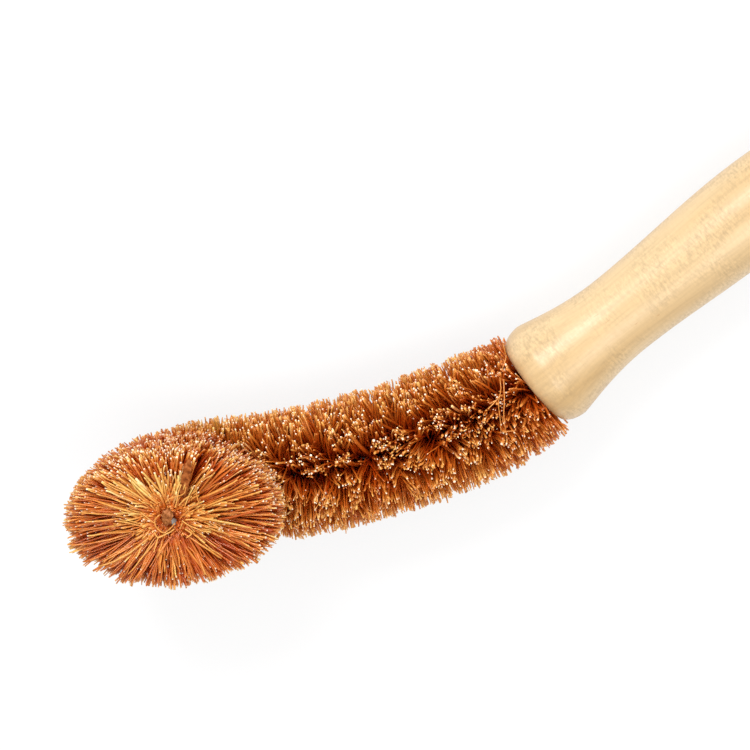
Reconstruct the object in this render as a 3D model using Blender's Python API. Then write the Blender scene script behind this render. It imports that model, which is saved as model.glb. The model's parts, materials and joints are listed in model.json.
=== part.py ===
"""A cup brush: palm fibre clamped in a twisted wire with a bent-up head, on a turned wooden handle.

Lengths are in metres and +Z is up. The brush lies on a table as it would be put down, with the
head's front face up, and rests on the back of the head, the root of the stem and the handle.

The pieces are first made in the handle's own frame. There the handle's axis is the X axis, its
front face is at x = 0 and its rear end at +X. The wire leaves the handle towards -X, bends gently
in the XY plane along the stem, and turns up to +Z in the head. The empty brush_frame, the parent
of all pieces, then lays the whole brush on the table.
"""

import math
import random

import bmesh
import bpy
from mathutils import Matrix, Vector

# Handle, with stations measured from its front face
HANDLE_LENGTH = 0.120
FRONT_RADIUS = 0.0158
FRONT_STATION = 0.0068
FRONT_EDGE_DEPTH = 0.0038
FLARE_SKEW = 0.62
WAIST_RADIUS = 0.0122
WAIST_STATION = 0.0327
GRIP_RADIUS = 0.0140
GRIP_STATION = 0.078
BUTT_FLAT_RADIUS = 0.005
BORE_DEPTH = 0.060
HANDLE_SIDES = 44
PROFILE_STEPS = 7

# Core wire, one wire folded double, and its adhesive
WIRE_DIAMETER = 0.0020
STRAND_GAP = 0.0005
TWIST_PITCH = 0.011
TWIST_STEPS = 8
FOLD_STEPS = 6
WIRE_STICK_OUT = 0.0015
ADHESIVE_WALL = 0.0011
ADHESIVE_RECESS = 0.0005
ADHESIVE_SIDES = 16

# Route of the wire outside the handle
NECK_LENGTH = 0.014
NECK_TURN = math.radians(13.5)
STEM_LENGTH = 0.0806
STEM_TURN = math.radians(20.7)
BEND_RADIUS = 0.015
BEND_TURN = math.radians(90)
LEG_LENGTH = 0.0155

# Fibre filling, measured from the wire's centre line
STEM_REACH = 0.0194
HEAD_REACH_OUTWARD = 0.0302
HEAD_REACH_INWARD = 0.0322
HEAD_REACH_SIDEWAYS = 0.0198
HEAD_REACH_BACK = 0.023
HEAD_BELLY_HEIGHT = 0.0225
HEAD_ROUNDNESS = 2.05
BEND_HOLLOW_RADIUS = 0.0055
FLAT_CUT = 0.0005
SLEEVE_WALL = 0.0011
STRANDS_ROUND = 12
STRAND_ROWS = 3
STRAND_INSET = 0.0003
STRAND_ROOT_RADIUS = 0.0008
STRAND_TIP_RADIUS = 0.0007
STEM_SLICES = 9
BEND_SLICES = 2
HEAD_SLICES = 2
FRONT_SPLAY_OUTWARD = math.radians(14)
FRONT_SPLAY_INWARD = math.radians(16)
SHORTEST_REACH = 0.93
DIRECTION_SCATTER = math.radians(2)
SCATTER_SEED = 7

# Clearances
TOUCH_GAP = 0.0003
SLEEVE_CLEARANCE = 0.0005
MERGE_DISTANCE = 1e-6
REACH_STEP = 0.0001
MOST_TILT = math.radians(15)
TILT_HALVINGS = 40

UP = Vector((0.0, 0.0, 1.0))
BRUSH_START = TOUCH_GAP
BEND_START = NECK_LENGTH + STEM_LENGTH
BEND_LENGTH = BEND_RADIUS * BEND_TURN
LEG_START = BEND_START + BEND_LENGTH
FILLING_END = LEG_START + LEG_LENGTH
WIRE_END = FILLING_END + WIRE_STICK_OUT
TWIST_RADIUS = (WIRE_DIAMETER + STRAND_GAP) / 2
TWISTED_RADIUS = TWIST_RADIUS + WIRE_DIAMETER / 2


def corner_radius(clear_radius, sides):
    """Corner radius of a polygon whose flats touch a circle of clear_radius."""
    return clear_radius / math.cos(math.pi / sides)


ADHESIVE_BORE = corner_radius(TWISTED_RADIUS + TOUCH_GAP, ADHESIVE_SIDES)
ADHESIVE_RADIUS = ADHESIVE_BORE + ADHESIVE_WALL
HANDLE_BORE = corner_radius(ADHESIVE_RADIUS + TOUCH_GAP, HANDLE_SIDES)
ADHESIVE_END = BORE_DEPTH - TOUCH_GAP
FOLD_END = ADHESIVE_END - ADHESIVE_WALL - TOUCH_GAP
SLEEVE_BORE = corner_radius(TWISTED_RADIUS + SLEEVE_CLEARANCE, STRANDS_ROUND)
SLEEVE_RADIUS = SLEEVE_BORE + SLEEVE_WALL


def clear_scene():
    for obj in list(bpy.data.objects):
        bpy.data.objects.remove(obj, do_unlink=True)


def make_material(name, colour, roughness, metallic=0.0):
    material = bpy.data.materials.new(name)
    material.use_nodes = True
    material.diffuse_color = (*colour, 1.0)
    shader = material.node_tree.nodes["Principled BSDF"]
    shader.inputs["Base Color"].default_value = (*colour, 1.0)
    shader.inputs["Roughness"].default_value = roughness
    shader.inputs["Metallic"].default_value = metallic
    return material


def add_object(name, data, material, parent):
    data.materials.append(material)
    obj = bpy.data.objects.new(name, data)
    obj.parent = parent
    bpy.context.scene.collection.objects.link(obj)
    return obj


def mesh_from(name, bm, smooth_angle):
    bmesh.ops.recalc_face_normals(bm, faces=bm.faces)
    mesh = bpy.data.meshes.new(name)
    bm.to_mesh(mesh)
    bm.free()
    mesh.shade_smooth()
    mesh.set_sharp_from_angle(angle=smooth_angle)
    return mesh


# Route of the wire


def along_arc(start, heading, length, turn, distance):
    """Point and heading a distance along a level arc that turns by turn over its length."""
    swept = turn * distance / length
    half = swept / 2
    chord = distance * math.sin(half) / half if half else distance
    step = Vector((math.cos(heading + half), math.sin(heading + half), 0.0))
    return start + chord * step, heading + swept


def level_route(distance):
    """Point and heading of the wire from the handle's front face to the bend."""
    start = Vector((0.0, 0.0, 0.0))
    if distance <= 0:
        return start + Vector((-distance, 0.0, 0.0)), math.pi
    if distance <= NECK_LENGTH:
        return along_arc(start, math.pi, NECK_LENGTH, -NECK_TURN, distance)
    neck_end, heading = along_arc(start, math.pi, NECK_LENGTH, -NECK_TURN, NECK_LENGTH)
    return along_arc(neck_end, heading, STEM_LENGTH, -STEM_TURN, distance - NECK_LENGTH)


def wire_frame(distance):
    """Point, tangent, inward and sideways directions of the wire at a distance from the handle.

    Inward is up along the stem and towards the bend's centre in the bend. Along the leg it points
    back to the handle's side.
    """
    point, heading = level_route(min(distance, BEND_START))
    level = Vector((math.cos(heading), math.sin(heading), 0.0))
    angle = min(max(distance - BEND_START, 0.0) / BEND_RADIUS, BEND_TURN)
    tangent = math.cos(angle) * level + math.sin(angle) * UP
    inward = math.cos(angle) * UP - math.sin(angle) * level
    point = point + BEND_RADIUS * (math.sin(angle) * level + (1 - math.cos(angle)) * UP)
    point = point + max(distance - LEG_START, 0.0) * tangent
    return point, tangent, inward, tangent.cross(inward)


def head_foot():
    """The point of the leg's axis at the stem's level, with the stem's end direction."""
    point, tangent, _, sideways = wire_frame(BEND_START)
    return point + BEND_RADIUS * tangent, tangent, sideways


HEAD_FOOT, HEAD_LEVEL, HEAD_SIDEWAYS = head_foot()


# Outline of the handle and rest on the table


def quarter_ellipse(start, end, steps):
    """Points of a quarter ellipse that leaves start along the radius and meets end along the axis."""
    points = []
    for step in range(steps + 1):
        angle = math.pi / 2 * step / steps
        station = end[0] + (start[0] - end[0]) * math.cos(angle)
        radius = start[1] + (end[1] - start[1]) * math.sin(angle)
        points.append((station, radius))
    return points


def eased(start, end, steps, skew=1.0):
    """Points of a smooth S from start to end, without start itself. A skew under 1 starts it early."""
    points = []
    for step in range(1, steps + 1):
        share = step / steps
        bent = share**skew
        rise = bent * bent * (3 - 2 * bent)
        station = start[0] + (end[0] - start[0]) * share
        points.append((station, start[1] + (end[1] - start[1]) * rise))
    return points


def handle_outline():
    """Outer (station, radius) points of the handle, from the front face to the butt's flat."""
    face_edge = (0.0, FRONT_RADIUS - FRONT_EDGE_DEPTH)
    front = (FRONT_STATION, FRONT_RADIUS)
    waist = (WAIST_STATION, WAIST_RADIUS)
    grip = (GRIP_STATION, GRIP_RADIUS)
    butt = (HANDLE_LENGTH, BUTT_FLAT_RADIUS)
    points = quarter_ellipse(face_edge, front, PROFILE_STEPS)
    points += eased(front, waist, PROFILE_STEPS, FLARE_SKEW)
    points += eased(waist, grip, PROFILE_STEPS)
    points += quarter_ellipse(butt, grip, PROFILE_STEPS)[-2::-1]
    return points


def chord_turn():
    """Turn about Z that lays the line from the head's foot to the handle's butt along X."""
    return math.atan2(HEAD_FOOT.y, HANDLE_LENGTH - HEAD_FOOT.x)


def table_normal(tilt):
    turned = Matrix.Rotation(tilt, 3, "Y") @ Matrix.Rotation(chord_turn(), 3, "Z")
    return turned.transposed() @ UP


def handle_level(normal):
    """Lowest level of the handle above a plane through the origin."""
    across = math.sqrt(1 - normal.x**2)
    return min(normal.x * station - across * radius for station, radius in handle_outline())


def head_level(normal):
    return normal.dot(HEAD_FOOT - HEAD_REACH_BACK * UP)


def resting_tilt():
    """Tilt about Y at which the back of the head and the handle touch the same table."""
    low, high = -MOST_TILT, MOST_TILT
    for _ in range(TILT_HALVINGS):
        tilt = (low + high) / 2
        normal = table_normal(tilt)
        if head_level(normal) < handle_level(normal):
            low = tilt
        else:
            high = tilt
    return (low + high) / 2


TILT = resting_tilt()
TABLE_NORMAL = table_normal(TILT)
TABLE_LEVEL = handle_level(TABLE_NORMAL)


def above_table(point):
    return TABLE_NORMAL.dot(point) - TABLE_LEVEL


# Turned pieces


def turned_piece(name, profile, sides, material, parent):
    """A solid turned about X from (station, radius) points that begin and end on the axis.

    Its two ends on the axis are each one flat face.
    """
    bm = bmesh.new()
    points = [bm.verts.new((station, 0.0, radius)) for station, radius in profile]
    edges = [bm.edges.new(pair) for pair in zip(points, points[1:])]
    bmesh.ops.spin(
        bm,
        geom=points + edges,
        cent=(0.0, 0.0, 0.0),
        axis=(1.0, 0.0, 0.0),
        angle=2 * math.pi,
        steps=sides,
        use_merge=True,
    )
    bmesh.ops.remove_doubles(bm, verts=bm.verts, dist=MERGE_DISTANCE)
    on_axis = [vert for vert in bm.verts if math.hypot(vert.co.y, vert.co.z) < MERGE_DISTANCE]
    bmesh.ops.dissolve_verts(bm, verts=on_axis)
    return add_object(name, mesh_from(name, bm, math.radians(40)), material, parent)


def make_handle(parent):
    wood = make_material("turned_wood", (0.83, 0.62, 0.34), 0.35)
    butt_centre = [(HANDLE_LENGTH, 0.0)]
    bore = [(0.0, HANDLE_BORE), (BORE_DEPTH, HANDLE_BORE), (BORE_DEPTH, 0.0)]
    profile = butt_centre + handle_outline()[::-1] + bore
    return turned_piece("handle", profile, HANDLE_SIDES, wood, parent)


def make_adhesive(parent):
    """The set adhesive: a cup that lines the bore and holds the wire's folded end."""
    glue = make_material("set_adhesive", (0.75, 0.55, 0.25), 0.4)
    fold_seat = FOLD_END + TOUCH_GAP
    profile = [
        (ADHESIVE_END, 0.0),
        (ADHESIVE_END, ADHESIVE_RADIUS),
        (ADHESIVE_RECESS, ADHESIVE_RADIUS),
        (ADHESIVE_RECESS, ADHESIVE_BORE),
        (fold_seat, ADHESIVE_BORE),
        (fold_seat, 0.0),
    ]
    return turned_piece("adhesive", profile, ADHESIVE_SIDES, glue, parent)


# Core wire


def wire_points():
    """Centre line of the one wire: down a strand, round the fold and back up the other strand."""
    fold_centre = -(FOLD_END - TWISTED_RADIUS)
    steps = round((WIRE_END - fold_centre) / TWIST_PITCH * TWIST_STEPS)
    first, second = [], []
    for step in range(steps + 1):
        distance = fold_centre + (WIRE_END - fold_centre) * step / steps
        point, _, inward, sideways = wire_frame(distance)
        angle = 2 * math.pi * (distance - fold_centre) / TWIST_PITCH
        arm = TWIST_RADIUS * (math.cos(angle) * inward + math.sin(angle) * sideways)
        first.append(point + arm)
        second.append(point - arm)
    centre, tangent, inward, _ = wire_frame(fold_centre)
    fold = []
    for step in range(1, FOLD_STEPS):
        angle = math.pi * step / FOLD_STEPS
        across = math.cos(angle) * inward
        fold.append(centre + TWIST_RADIUS * (across - math.sin(angle) * tangent))
    return first[::-1] + fold + second


def make_core_wire(parent):
    steel = make_material("steel_wire", (0.55, 0.54, 0.52), 0.35, 1.0)
    curve = bpy.data.curves.new("core_wire", "CURVE")
    curve.dimensions = "3D"
    curve.bevel_depth = WIRE_DIAMETER / 2
    curve.bevel_resolution = 1
    curve.use_fill_caps = True
    points = wire_points()
    spline = curve.splines.new("POLY")
    spline.points.add(len(points) - 1)
    for place, point in zip(spline.points, points):
        place.co = (*point, 1.0)
    return add_object("core_wire", curve, steel, parent)


# Fibre filling


def strand_direction(distance, angle):
    """Direction of a strand that leaves the wire at a distance, turned by angle from inward."""
    _, tangent, inward, sideways = wire_frame(distance)
    spoke = math.cos(angle) * inward + math.sin(angle) * sideways
    share = max(distance - LEG_START, 0.0) / LEG_LENGTH
    if share == 0.0:
        return spoke
    toward_handle = (1 + math.cos(angle)) / 2
    outward_splay = FRONT_SPLAY_OUTWARD * share
    splay = outward_splay + (FRONT_SPLAY_INWARD - outward_splay) * toward_handle
    return math.cos(splay) * spoke + math.sin(splay) * tangent


def in_head(point):
    """Whether a point is inside the head's shape: an oval tube with a rounded back."""
    offset = point - HEAD_FOOT
    half_length = (HEAD_REACH_OUTWARD + HEAD_REACH_INWARD) / 2
    middle = (HEAD_REACH_INWARD - HEAD_REACH_OUTWARD) / 2
    along = abs(-offset.dot(HEAD_LEVEL) - middle) / half_length
    across = abs(offset.dot(HEAD_SIDEWAYS)) / HEAD_REACH_SIDEWAYS
    back_depth = HEAD_BELLY_HEIGHT + HEAD_REACH_BACK + FLAT_CUT
    back = max(HEAD_BELLY_HEIGHT - offset.z, 0.0) / back_depth
    return along**HEAD_ROUNDNESS + across**HEAD_ROUNDNESS + back**HEAD_ROUNDNESS < 1


def strand_reach(root, direction, inward, distance):
    """How far from the wire's centre line a strand reaches before the filling is trimmed."""
    climb = direction.dot(inward)
    least, most = SLEEVE_RADIUS, HEAD_REACH_INWARD + HEAD_REACH_OUTWARD
    if distance <= BEND_START:
        least = STEM_REACH
        if climb > 0:
            return STEM_REACH
    elif distance <= LEG_START and climb > 0:
        most = min(most, (BEND_RADIUS - BEND_HOLLOW_RADIUS) / climb)
    reach = least
    while reach < most and in_head(root + reach * direction):
        reach += REACH_STEP
    return reach


def sleeve_rings(bm, distances, radius, twist):
    """Rings of corners round the wire, each turned by half a side from the one before it."""
    rings = []
    for row, distance in enumerate(distances):
        point, _, inward, sideways = wire_frame(distance)
        ring = []
        for corner in range(STRANDS_ROUND):
            angle = 2 * math.pi * (corner + twist + row / 2) / STRANDS_ROUND
            arm = math.cos(angle) * inward + math.sin(angle) * sideways
            ring.append(bm.verts.new(point + radius * arm))
        rings.append(ring)
    return rings


def bridge(bm, ring, other):
    """Side faces between two rings of the same count."""
    faces = []
    for corner in range(len(ring)):
        following = (corner + 1) % len(ring)
        corners = (ring[corner], ring[following], other[following], other[corner])
        faces.append(bm.faces.new(corners))
    return faces


def split_cell(bm, face, tangent):
    """The two triangles of a sleeve's face, the one nearer to the handle first."""
    halves = bmesh.ops.triangulate(bm, faces=[face])["faces"]
    return sorted(halves, key=lambda half: half.calc_center_median().dot(tangent))


def draw_strand(bm, root_face, distance, angle, scatter):
    """Draws a face of the sleeve out into a three-sided strand, cut flat where it meets the table."""
    root, _, inward, _ = wire_frame(distance)
    lean = Vector([scatter.uniform(-1, 1) * DIRECTION_SCATTER for _ in range(3)])
    direction = (strand_direction(distance, angle) + lean).normalized()
    reach = strand_reach(root, direction, inward, distance) * scatter.uniform(SHORTEST_REACH, 1.0)
    tip = root + reach * direction
    middle = root_face.calc_center_median()
    for vert in root_face.verts:
        arm = vert.co - middle
        vert.co = middle + min(STRAND_ROOT_RADIUS / arm.length, 1.0) * arm
    end_face = bmesh.ops.extrude_discrete_faces(bm, faces=[root_face])["faces"][0]
    for vert in end_face.verts:
        arm = vert.co - middle
        arm = (arm - arm.dot(direction) * direction).normalized()
        vert.co = tip + STRAND_TIP_RADIUS * arm
        depth = -above_table(vert.co)
        if depth > 0:
            vert.co += direction * depth / direction.dot(TABLE_NORMAL)


def make_bristles(name, start, end, slice_number, material, parent):
    """One slice of the filling: a sleeve round the wire, with strands drawn out of its outer faces."""
    bm = bmesh.new()
    scatter = random.Random(SCATTER_SEED + slice_number)
    row_length = (end - start) / STRAND_ROWS
    distances = [start + row * row_length for row in range(STRAND_ROWS + 1)]
    twist = STRAND_ROWS * slice_number / 2
    outer = sleeve_rings(bm, distances, SLEEVE_RADIUS, twist)
    inner = sleeve_rings(bm, distances, SLEEVE_BORE, twist)
    cells = []
    for row in range(STRAND_ROWS):
        bridge(bm, inner[row], inner[row + 1])
        middle = distances[row] + row_length / 2
        for corner, face in enumerate(bridge(bm, outer[row], outer[row + 1])):
            angle = 2 * math.pi * (corner + 0.75 + twist + row / 2) / STRANDS_ROUND
            cells.append((face, middle, angle))
    bridge(bm, outer[0], inner[0])
    bridge(bm, outer[-1], inner[-1])
    bmesh.ops.recalc_face_normals(bm, faces=bm.faces)
    for face, distance, angle in cells:
        root_face = scatter.choice(split_cell(bm, face, wire_frame(distance)[1]))
        bmesh.ops.inset_individual(bm, faces=[root_face], thickness=STRAND_INSET)
        draw_strand(bm, root_face, distance, angle, scatter)
    return add_object(name, mesh_from(name, bm, math.radians(30)), material, parent)


def make_filling(parent):
    """All slices of the filling, from the handle to the wire's end, with a gap between neighbours."""
    red_brown = (0.50, 0.17, 0.045)
    light_brown = (0.62, 0.25, 0.075)
    stretches = [
        ("bristles_stem", BRUSH_START, BEND_START, STEM_SLICES, red_brown),
        ("bristles_bend", BEND_START, LEG_START, BEND_SLICES, light_brown),
        ("bristles_head", LEG_START, FILLING_END, HEAD_SLICES, light_brown),
    ]
    slice_number = 0
    for name, start, end, count, colour in stretches:
        fibre = make_material(name + "_fibre", colour, 0.7)
        pitch = (end - start) / count
        for number in range(count):
            low = start + number * pitch + TOUCH_GAP / 2
            high = start + (number + 1) * pitch - TOUCH_GAP / 2
            make_bristles(f"{name}_{number + 1}", low, high, slice_number, fibre, parent)
            slice_number += 1


# Whole brush


def lay_on_table(frame):
    """Turns the brush to lie along X and sets the origin under the middle of its box."""
    turn = Matrix.Rotation(TILT, 4, "Y") @ Matrix.Rotation(chord_turn(), 4, "Z")
    frame.matrix_world = turn
    bpy.context.view_layer.update()
    graph = bpy.context.evaluated_depsgraph_get()
    corners = []
    for obj in frame.children:
        evaluated = obj.evaluated_get(graph)
        mesh = evaluated.to_mesh()
        corners += [evaluated.matrix_world @ vert.co for vert in mesh.vertices]
        evaluated.to_mesh_clear()
    low = Vector([min(corner[axis] for corner in corners) for axis in range(3)])
    high = Vector([max(corner[axis] for corner in corners) for axis in range(3)])
    middle = (low + high) / 2
    shift = Vector((-middle.x, -middle.y, -low.z))
    frame.matrix_world = Matrix.Translation(shift) @ turn
    bpy.context.view_layer.update()


def main():
    clear_scene()
    frame = bpy.data.objects.new("brush_frame", None)
    bpy.context.scene.collection.objects.link(frame)
    make_handle(frame)
    make_adhesive(frame)
    make_core_wire(frame)
    make_filling(frame)
    lay_on_table(frame)


main()
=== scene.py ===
"""The looks of a palm fibre cup brush: its fibres, twisted wire, turned handle, light and camera."""

import json
import math

import bmesh
import bpy
import numpy as np
from mathutils import Matrix, Vector, noise
from mathutils.kdtree import KDTree


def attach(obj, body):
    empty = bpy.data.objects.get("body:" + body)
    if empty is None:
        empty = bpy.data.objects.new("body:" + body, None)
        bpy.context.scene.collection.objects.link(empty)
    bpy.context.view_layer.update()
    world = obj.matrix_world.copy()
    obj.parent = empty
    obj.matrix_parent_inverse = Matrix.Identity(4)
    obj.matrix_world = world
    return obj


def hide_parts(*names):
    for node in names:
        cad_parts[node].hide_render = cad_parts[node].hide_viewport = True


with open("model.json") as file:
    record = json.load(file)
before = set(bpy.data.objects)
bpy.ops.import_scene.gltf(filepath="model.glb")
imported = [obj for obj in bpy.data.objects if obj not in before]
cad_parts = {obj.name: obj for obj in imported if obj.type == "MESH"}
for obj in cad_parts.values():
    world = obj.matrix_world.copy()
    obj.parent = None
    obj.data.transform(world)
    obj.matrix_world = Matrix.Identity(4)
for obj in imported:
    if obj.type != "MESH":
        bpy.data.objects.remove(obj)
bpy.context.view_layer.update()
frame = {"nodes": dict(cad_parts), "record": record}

# Sizes that the solids are built to, in metres
HANDLE_LENGTH = 0.120
FRONT_RADIUS = 0.0158
FRONT_STATION = 0.0068
FRONT_EDGE_DEPTH = 0.0038
FLARE_SKEW = 0.62
WAIST_RADIUS = 0.0122
WAIST_STATION = 0.0327
GRIP_RADIUS = 0.0140
GRIP_STATION = 0.078
BUTT_FLAT_RADIUS = 0.005
BORE_DEPTH = 0.060
BORE_RADIUS = 0.0041
WIRE_DIAMETER = 0.0020
TWIST_RADIUS = 0.00125
TWIST_PITCH = 0.011
FOLD_END = 0.0583
WIRE_STICK_OUT = 0.0015
NECK_LENGTH = 0.014
NECK_TURN = math.radians(13.5)
STEM_LENGTH = 0.0806
STEM_TURN = math.radians(20.7)
BEND_RADIUS = 0.015
BEND_TURN = math.radians(90)
LEG_LENGTH = 0.0155
STEM_REACH = 0.0194
HEAD_REACH_OUTWARD = 0.0302
HEAD_REACH_INWARD = 0.0322
HEAD_REACH_SIDEWAYS = 0.0198
HEAD_REACH_BACK = 0.023
HEAD_BELLY_HEIGHT = 0.0225
HEAD_ROUNDNESS = 2.05
STEM_SLICES = 9
BEND_SLICES = 2
HEAD_SLICES = 2
TOUCH_GAP = 0.0003

BEND_START = NECK_LENGTH + STEM_LENGTH
LEG_START = BEND_START + BEND_RADIUS * BEND_TURN
FILLING_END = LEG_START + LEG_LENGTH
WIRE_END = FILLING_END + WIRE_STICK_OUT
UP = np.array([0.0, 0.0, 1.0])

# The handle's axis, from its rear end's mount, gives where the brush's own frame lies
butt_mount = frame["record"]["mounts"][0]
butt_axis = Vector(butt_mount["axis"])
turn_matrix = (
    Matrix.Rotation(math.atan2(-butt_axis.z, butt_axis.x), 4, "Y")
    @ Matrix.Rotation(math.asin(butt_axis.y), 4, "Z")
)
brush_origin = Vector(butt_mount["pos_m"]) - HANDLE_LENGTH * butt_axis
BRUSH_FRAME = Matrix.Translation(brush_origin) @ turn_matrix
BRUSH_MATRIX = np.array(BRUSH_FRAME)

rng = np.random.default_rng(4)


def to_world(points):
    """Points of the brush's own frame, where the handle's axis is X, in the world."""
    return points @ BRUSH_MATRIX[:3, :3].T + BRUSH_MATRIX[:3, 3]


def from_world(points):
    """World points in the brush's own frame."""
    return (points - BRUSH_MATRIX[:3, 3]) @ BRUSH_MATRIX[:3, :3]


def unit(vectors):
    return vectors / np.linalg.norm(vectors, axis=-1, keepdims=True)


def dot(a, b):
    return np.sum(a * b, axis=-1)


def square_to(vectors, direction):
    """Vectors without their share along the unit vectors direction."""
    return vectors - dot(vectors, direction)[..., None] * direction


# Route of the wire


def along_arc(start, heading, length, turn, distance):
    """Points and headings at distances along a level arc that turns by turn over its length."""
    half = turn * distance / length / 2
    angle = heading + half
    chord = distance * np.sinc(half / np.pi)
    step = np.stack([np.cos(angle), np.sin(angle), np.zeros_like(angle)], axis=-1)
    return start + chord[:, None] * step, heading + 2 * half


def wire_frames(distance):
    """Points, tangents, inward and sideways directions of the wire, as in the solids."""
    distance = np.asarray(distance, float)
    on_neck = np.clip(distance, 0, NECK_LENGTH)
    on_stem = np.clip(distance - NECK_LENGTH, 0, STEM_LENGTH)
    point, heading = along_arc(np.zeros(3), math.pi, NECK_LENGTH, -NECK_TURN, on_neck)
    point, heading = along_arc(point, heading, STEM_LENGTH, -STEM_TURN, on_stem)
    point[:, 0] += np.maximum(-distance, 0)
    level = np.stack([np.cos(heading), np.sin(heading), np.zeros_like(heading)], axis=-1)
    angle = np.clip((distance - BEND_START) / BEND_RADIUS, 0, BEND_TURN)[:, None]
    tangent = np.cos(angle) * level + np.sin(angle) * UP
    inward = np.cos(angle) * UP - np.sin(angle) * level
    point = point + BEND_RADIUS * (np.sin(angle) * level + (1 - np.cos(angle)) * UP)
    point = point + np.maximum(distance - LEG_START, 0)[:, None] * tangent
    return point, tangent, inward, np.cross(tangent, inward)


bend_point, bend_tangent, _, bend_sideways = wire_frames([BEND_START])
HEAD_FOOT = bend_point[0] + BEND_RADIUS * bend_tangent[0]
HEAD_LEVEL = bend_tangent[0]
HEAD_SIDEWAYS = bend_sideways[0]


# Photograph's view

PHOTO_SIZE = 750
METRES_PER_PIXEL = 0.00029
PHOTO_HANDLE_ANGLE = math.radians(39.8)
PHOTO_HANDLE_FRONT = (533.3, 383.8)
CAMERA_LEAN = math.radians(14.7)
CAMERA_DISTANCE = 0.9
MILLIMETRES_PER_METRE = 1000


def photo_axes():
    """The photograph's right, up and toward-camera directions in the world."""
    right = Vector((math.cos(PHOTO_HANDLE_ANGLE), -math.sin(PHOTO_HANDLE_ANGLE), 0.0))
    level_up = Vector((math.sin(PHOTO_HANDLE_ANGLE), math.cos(PHOTO_HANDLE_ANGLE), 0.0))
    upright = Vector((0.0, 0.0, 1.0))
    back = math.cos(CAMERA_LEAN) * upright + math.sin(CAMERA_LEAN) * level_up
    up = math.cos(CAMERA_LEAN) * level_up - math.sin(CAMERA_LEAN) * upright
    turn = BRUSH_FRAME.to_3x3()
    return turn @ right, turn @ up, turn @ back


def camera_target():
    """The point in the middle of the picture, at the depth of the handle's front face."""
    right, up, _ = photo_axes()
    offset_x = (PHOTO_HANDLE_FRONT[0] - PHOTO_SIZE / 2) * METRES_PER_PIXEL
    offset_y = (PHOTO_SIZE / 2 - PHOTO_HANDLE_FRONT[1]) * METRES_PER_PIXEL
    return BRUSH_FRAME.translation - offset_x * right - offset_y * up


def on_photo(places):
    """World points that the photograph's pixels show at heights above the stem's axis."""
    places = np.asarray(places, float)
    right, up, back = (np.array(axis) for axis in photo_axes())
    eye = np.array(camera_target()) + CAMERA_DISTANCE * back
    across = (places[:, :1] - PHOTO_SIZE / 2) * METRES_PER_PIXEL
    above = (PHOTO_SIZE / 2 - places[:, 1:2]) * METRES_PER_PIXEL
    ray = across * right + above * up - CAMERA_DISTANCE * back
    normal = BRUSH_MATRIX[:3, 2]
    level = BRUSH_MATRIX[:3, 3] @ normal + places[:, 2] / MILLIMETRES_PER_METRE
    return eye + ((level - eye @ normal) / (ray @ normal))[:, None] * ray


# Materials


class Shader:
    """A material's nodes, added one after another."""

    def __init__(self, name):
        self.material = bpy.data.materials.new(name)
        self.material.use_nodes = True
        self.tree = self.material.node_tree
        self.principled = self.tree.nodes["Principled BSDF"]

    def node(self, kind, **values):
        added = self.tree.nodes.new(kind)
        for key, value in values.items():
            setattr(added, key, value)
        return added

    def link(self, source, target):
        self.tree.links.new(source, target)

    def set(self, **values):
        """Sets the shader's own sockets, named with _ for a space."""
        for key, value in values.items():
            self.principled.inputs[key.replace("_", " ")].default_value = value

    def attribute(self, name, output="Fac"):
        return self.node("ShaderNodeAttribute", attribute_name=name).outputs[output]

    def object_place(self):
        return self.node("ShaderNodeTexCoord").outputs["Object"]

    def colour_from(self, colour):
        self.link(colour, self.principled.inputs["Base Color"])

    def roughness_from(self, roughness):
        self.link(roughness, self.principled.inputs["Roughness"])

    def ramp(self, source, stops):
        """Colour ramp through (position, colour or grey) stops."""
        added = self.node("ShaderNodeValToRGB")
        elements = added.color_ramp.elements
        while len(elements) < len(stops):
            elements.new(0.5)
        for element, (position, colour) in zip(elements, stops):
            element.position = position
            colour = (colour,) * 3 if isinstance(colour, (int, float)) else colour
            element.color = (*colour, 1.0)
        self.link(source, added.inputs["Fac"])
        return added.outputs["Color"]

    def math(self, operation, first, second):
        added = self.node("ShaderNodeMath", operation=operation)
        for socket, value in zip(added.inputs, (first, second)):
            if isinstance(value, (int, float)):
                socket.default_value = value
            else:
                self.link(value, socket)
        return added.outputs["Value"]

    def mix(self, factor, first, second, blend="MIX"):
        added = self.node("ShaderNodeMix", data_type="RGBA", blend_type=blend)
        for name, value in (("Factor", factor), ("A", first), ("B", second)):
            socket = [s for s in added.inputs if s.name == name and s.enabled][0]
            if isinstance(value, (int, float)):
                socket.default_value = value
            elif isinstance(value, tuple):
                socket.default_value = (*value, 1.0)
            else:
                self.link(value, socket)
        return [s for s in added.outputs if s.enabled][0]

    def noise(self, vector, scale, detail, roughness, stretch=(1.0, 1.0, 1.0)):
        mapping = self.node("ShaderNodeMapping")
        mapping.inputs["Scale"].default_value = stretch
        self.link(vector, mapping.inputs["Vector"])
        added = self.node("ShaderNodeTexNoise")
        added.inputs["Scale"].default_value = scale
        added.inputs["Detail"].default_value = detail
        added.inputs["Roughness"].default_value = roughness
        self.link(mapping.outputs["Vector"], added.inputs["Vector"])
        return added.outputs["Fac"]

    def bump(self, height, distance, strength):
        added = self.node("ShaderNodeBump")
        added.inputs["Distance"].default_value = distance
        added.inputs["Strength"].default_value = strength
        self.link(height, added.inputs["Height"])
        self.link(added.outputs["Normal"], self.principled.inputs["Normal"])


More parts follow.
